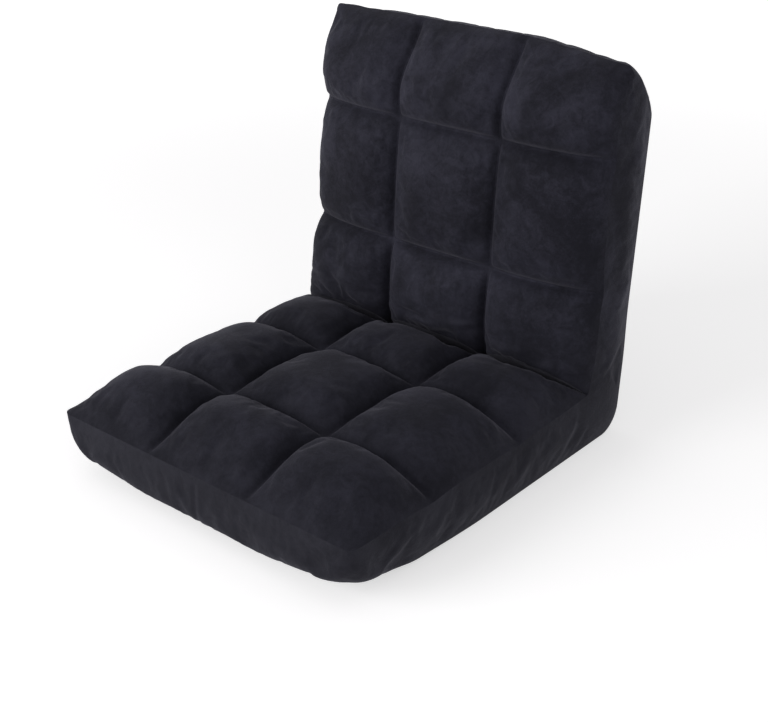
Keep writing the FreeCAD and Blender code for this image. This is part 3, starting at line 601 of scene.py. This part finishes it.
def steel(name, colour, roughness, along, fixed):
    """Plated or coated steel: fine drawn lines along the given stretch, and blotches in the finish."""
    material, tree, shader = new_material(name, **fixed)
    place = node(tree, "ShaderNodeTexCoord", {}, {}, "Object")
    drawn = node(tree, "ShaderNodeMapping", {}, {"Vector": place, "Scale": along})
    lines = fabric_noise(tree, drawn, 420.0, 3.0, 0.6)
    blotches = fabric_noise(tree, place, 90.0, 4.0, 0.65)
    dark = tuple(c * 0.72 for c in colour)
    mask = (blotches * 0.7 + lines * 0.3).clamped()
    rough = roughness + (mask - 0.5) * 0.22
    wire_up(tree, shader, mask, (dark, colour), rough, lines + blotches, (0.2, 0.0004))
    return material


def woven_strap(name, colour):
    """Flat polypropylene webbing, its ribs across and its threads along."""
    material, tree, shader = new_material(name, Specular_IOR_Level=0.4)
    place = node(tree, "ShaderNodeTexCoord", {}, {}, "Object")
    waves = {"Vector": place, "Scale": 190.0, "Distortion": 0.6, "Detail": 1.0}
    ribs = node(tree, "ShaderNodeTexWave", {"bands_direction": "X"}, waves, "Fac")
    threads = node(tree, "ShaderNodeTexWave", {"bands_direction": "Z"}, {**waves, "Scale": 140.0}, "Fac")
    weave = ribs * threads
    light = tuple(c * 1.9 for c in colour)
    wire_up(tree, shader, weave, (colour, light), 0.7 - weave * 0.15, weave, (0.5, 0.0006))
    return material


VELVET = velvet("velvet_top", (0.0055, 0.0054, 0.0092), (0.0225, 0.022, 0.0345))
BOXING_VELVET = velvet("velvet_boxing", (0.0065, 0.0064, 0.0102), (0.0225, 0.0222, 0.0335), 0.7)
POCKET_VELVET = velvet("pocket_velvet", (0.006, 0.0059, 0.0095), (0.0195, 0.019, 0.0295), 1.3)
METAL = {"Metallic": 1.0}
HARDWARE = {
    "frame_tube": steel("black_powder_coat", (0.022, 0.022, 0.024), 0.48, (1, 1, 1), {"Coat_Weight": 0.12}),
    "hinge_steel": steel("zinc_plate", (0.55, 0.56, 0.57), 0.36, (1, 0.08, 1), METAL),
    "rivet_steel": steel("zinc_rivet", (0.62, 0.63, 0.64), 0.3, (0.1, 1, 1), METAL),
    "spring_steel": steel("blued_spring", (0.2, 0.22, 0.27), 0.32, (1, 1, 0.1), METAL),
    "webbing": woven_strap("woven_strap", (0.03, 0.03, 0.033)),
}


def finish_hardware():
    """Gives the CAD nodes that still show their own finishes."""
    for part in frame["nodes"].values():
        for place in part.material_slots:
            if place.material and place.material.name in HARDWARE:
                place.material = HARDWARE[place.material.name]


def split(bm, tag):
    """A copy of the faces of one panel."""
    copy = bm.copy()
    gone = [face for face in copy.faces if face.material_index != tag]
    bmesh.ops.delete(copy, geom=gone, context="FACES")
    for face in copy.faces:
        face.material_index = 0
    return copy


def round_off(made):
    """One subdivision, applied."""
    modifier = made.modifiers.new("rounding", "SUBSURF")
    modifier.levels = 1
    modifier.render_levels = 1
    apply_modifier(made, "rounding")


CLOTH_STEPS = 14
CLOTH = {
    "quality": 5,
    "mass": 0.12,
    "air_damping": 2.0,
    "tension_stiffness": 20,
    "compression_stiffness": 20,
    "shear_stiffness": 8,
    "bending_stiffness": 0.35,
    "vertex_group_mass": "pinned",
    "use_pressure": True,
}
# Share of extra cloth, pressure within, and the most that a point moves.
PLUMPING = {TOP: (0.035, 1.0, 5 * MM), BOXING: (0.012, 0.3, 3 * MM)}


def plump(made, growth, pressure, most):
    """Lets the fabric belly out and crease between the seams that hold it."""
    held = [point.value for point in made.data.attributes["held"].data]
    sewn = [vertex.co.copy() for vertex in made.data.vertices]
    group = made.vertex_groups.new(name="pinned")
    for n, share in enumerate(held):
        group.add([n], share, "REPLACE")
    cloth = made.modifiers.new("cloth", "CLOTH")
    for name, value in CLOTH.items():
        setattr(cloth.settings, name, value)
    cloth.settings.shrink_min = -growth
    cloth.settings.uniform_pressure_force = pressure
    cloth.settings.effector_weights.gravity = 0
    cloth.point_cache.frame_start = 1
    cloth.point_cache.frame_end = CLOTH_STEPS
    for step in range(1, CLOTH_STEPS + 1):
        bpy.context.scene.frame_set(step)
    apply_modifier(made, "cloth")
    bpy.context.scene.frame_set(1)
    for vertex, start in zip(made.data.vertices, sewn):
        move = vertex.co - start
        length = move.length
        if length > 0:
            capped = most * math.tanh(length / most)
            vertex.co = start + move * (capped / length) * (1 - held[vertex.index])
    made.vertex_groups.clear()


def apply_modifier(made, name):
    bpy.context.view_layer.objects.active = made
    made.select_set(True)
    bpy.ops.object.modifier_apply(modifier=name)
    made.select_set(False)


def cross_joint(made):
    """Bends a piece between seat and back at the crease."""
    reach = Vector((0, math.sin(CREASE), math.cos(CREASE))) * BLEND_BAND * MM
    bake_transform(made, "seat", "back", start=HINGE - reach, end=HINGE + reach)


def cover():
    """The quilted top, the boxing and the underside, cut from one shell so that their seams meet."""
    bm = cover_mesh()
    pieces = (
        ("quilted_top", TOP, VELVET, "velvet_top"),
        ("boxing_strip", BOXING, BOXING_VELVET, "velvet_boxing"),
        ("underside_panel", UNDER, BOXING_VELVET, "velvet_boxing"),
    )
    made = {}
    for name, tag, material, slot in pieces:
        made[name] = piece(name, split(bm, tag), material)
        if tag in PLUMPING:
            plump(made[name], *PLUMPING[tag])
            round_off(made[name])
        cross_joint(made[name])
    bm.free()
    tufts = [n for n in frame["nodes"] if "_tuft_" in n]
    foam = [n for n in frame["nodes"] if "_foam_" in n]
    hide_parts(*tufts)
    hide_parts("seat_cover_base", *foam)
    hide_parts("back_cover_base")


POCKET_FOOT = 196.0  # along, from the hinge axis
POCKET_MOUTH = 352.0
POCKET_HALF_WIDTH = 235.0
POCKET_CELLS = (94, 32)
POCKET_CLOTH = 1.4
POCKET_SLACK = 9.0
POCKET_TAUT = 0.45  # share of it gone at the mouth
POCKET_LIFT = 1.2  # off the rear face where it is sewn down
POCKET_SIDE = 60.0  # over which it rises from its side seams
POCKET_FULL = 0.16  # share of its height by which its slack is full
POCKET_WAVE = 1.1
POCKET_WAVE_RUN = (19.0, 47.0)  # lengths of the wave and of the sway in it
POCKET_SWAY = 1.3
POCKET_CRUMPLE = 2.2
POCKET_CRUMPLE_SIZE = (60.0, 34.0)
HEM = 18.0  # width of the mouth's hem
HEM_STEP = 1.0
HEM_EDGE = 1.5


def pocket_depth(x, along):
    """How far the pocket stands off the back: sewn down at its sides and foot, open at its mouth."""
    share = (along - POCKET_FOOT) / (POCKET_MOUTH - POCKET_FOOT)
    side = clamp((POCKET_HALF_WIDTH - abs(x)) / POCKET_SIDE)
    across = math.sqrt(max(0.0, 1 - (1 - side) ** 2))
    slack = POCKET_SLACK * math.sqrt(clamp(share / POCKET_FULL)) * (1 - POCKET_TAUT * smooth(share))
    wave, sway = POCKET_WAVE_RUN
    waves = POCKET_WAVE * math.sin(x / wave + POCKET_SWAY * math.sin(x / sway)) * smooth(share)
    size = POCKET_CRUMPLE_SIZE
    folds = waves + POCKET_CRUMPLE * noise.noise(Vector((x / size[0], along / size[1], 4.0)))
    hem = HEM_STEP * ramp(along, (POCKET_MOUTH - HEM, HEM_EDGE))
    return POCKET_LIFT + across * (slack + folds) + hem


def rear_pocket():
    """The flat pocket across the back's rear face, its mouth hemmed."""
    columns, rows = POCKET_CELLS
    bm = bmesh.new()
    made = bmesh.ops.create_grid(bm, x_segments=columns, y_segments=rows, size=1.0)
    for vertex in made["verts"]:
        x = vertex.co.x * POCKET_HALF_WIDTH
        along = mix(POCKET_FOOT, POCKET_MOUTH, (vertex.co.y + 1) / 2)
        vertex.co = BACK.place(x, along, BACK.underside(along) - pocket_depth(x, along))
    for face in bm.faces:
        face.smooth = True
    bmesh.ops.reverse_faces(bm, faces=bm.faces)
    cloth = piece("rear_pocket_cloth", bm, POCKET_VELVET)
    wall = cloth.modifiers.new("thickness", "SOLIDIFY")
    wall.thickness = POCKET_CLOTH * MM
    wall.offset = 1.0
    apply_modifier(cloth, "thickness")
    round_off(cloth)
    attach(cloth, "back")
    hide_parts("rear_pocket")


SKY_LIGHT = 0.4
FLOOR_SIZE = 30.0
FLOOR_LIFT = 0.52
FAR_FLOOR_LIFT = 0.3  # more of it, away from the lamps


def background_rays(tree):
    """1 for rays that see the background itself, in the picture or in gloss and glass."""
    names = ("Is Camera Ray", "Is Glossy Ray", "Is Transmission Ray")
    seen, glossy, through = (node(tree, "ShaderNodeLightPath", {}, {}, name) for name in names)
    return (seen + glossy + through).clamped()


def studio():
    """A pale floor, a white sky and two soft lamps."""
    bm = bmesh.new()
    bmesh.ops.create_grid(bm, x_segments=1, y_segments=1, size=FLOOR_SIZE)
    material, tree, shader = new_material("pale_floor", Roughness=0.95, Specular_IOR_Level=0.0)
    shader.inputs["Base Color"].default_value = (0.8, 0.79, 0.8, 1)
    shader.inputs["Emission Color"].default_value = (1, 1, 1, 1)
    place = node(tree, "ShaderNodeTexCoord", {}, {}, "Object")
    away = node(tree, "ShaderNodeVectorMath", {"operation": "LENGTH"}, {0: place}, "Value")
    band = {"Value": away, "From Min": 0.9, "From Max": 3.6}
    far = node(tree, "ShaderNodeMapRange", {"interpolation_type": "SMOOTHSTEP"}, band)
    lift = background_rays(tree) * (FLOOR_LIFT + far * FAR_FLOOR_LIFT)
    tree.links.new(lift.socket, shader.inputs["Emission Strength"])
    piece("floor", bm, material)
    world = bpy.data.worlds.new("studio")
    bpy.context.scene.world = world
    world.use_nodes = True
    sky = world.node_tree
    strength = SKY_LIGHT + background_rays(sky) * (1.0 - SKY_LIGHT)
    sky.nodes["Background"].inputs["Color"].default_value = (1, 1, 1, 1)
    sky.links.new(strength.socket, sky.nodes["Background"].inputs["Strength"])
    lamp("key", (-1.5, -3.3, 1.4), 2.2, 92)
    lamp("fill", (3.0, -1.2, 1.0), 1.8, 24)


def lamp(name, place, size, power):
    """A square soft lamp that faces the chair."""
    data = bpy.data.lights.new(name, "AREA")
    data.size = size
    data.energy = power
    made = bpy.data.objects.new(name, data)
    made.location = place
    aim = Vector((0, 0, 0.2)) - Vector(place)
    made.rotation_euler = aim.to_track_quat("-Z", "Y").to_euler()
    bpy.context.scene.collection.objects.link(made)


IMAGE_WIDTH = 768
SENSOR_WIDTH = 36.0
CAMERA_AZIMUTH = math.radians(40.87)
CAMERA_ELEVATION = math.radians(26.46)
CAMERA_ROLL = math.radians(-0.58)
CAMERA_PLACE = Vector((1.0816, -1.2003, 0.9314))
FOCAL_PIXELS = 1355.74


def camera():
    """The photograph's viewpoint."""
    data = bpy.data.cameras.new("camera")
    data.sensor_width = SENSOR_WIDTH
    data.lens = FOCAL_PIXELS / IMAGE_WIDTH * SENSOR_WIDTH
    made = bpy.data.objects.new("camera", data)
    a, e = CAMERA_AZIMUTH, CAMERA_ELEVATION
    back = Vector((math.sin(a) * math.cos(e), -math.cos(a) * math.cos(e), math.sin(e)))
    right = Vector((math.cos(a), math.sin(a), 0))
    up = back.cross(right)
    turned = right * math.cos(CAMERA_ROLL) + up * math.sin(CAMERA_ROLL)
    raised = back.cross(turned)
    basis = Matrix((turned, raised, back)).transposed()
    made.matrix_world = Matrix.Translation(CAMERA_PLACE) @ basis.to_4x4()
    bpy.context.scene.collection.objects.link(made)
    bpy.context.scene.camera = made


bpy.context.scene.view_settings.view_transform = "Standard"
cover()
rear_pocket()
finish_hardware()
studio()
camera()
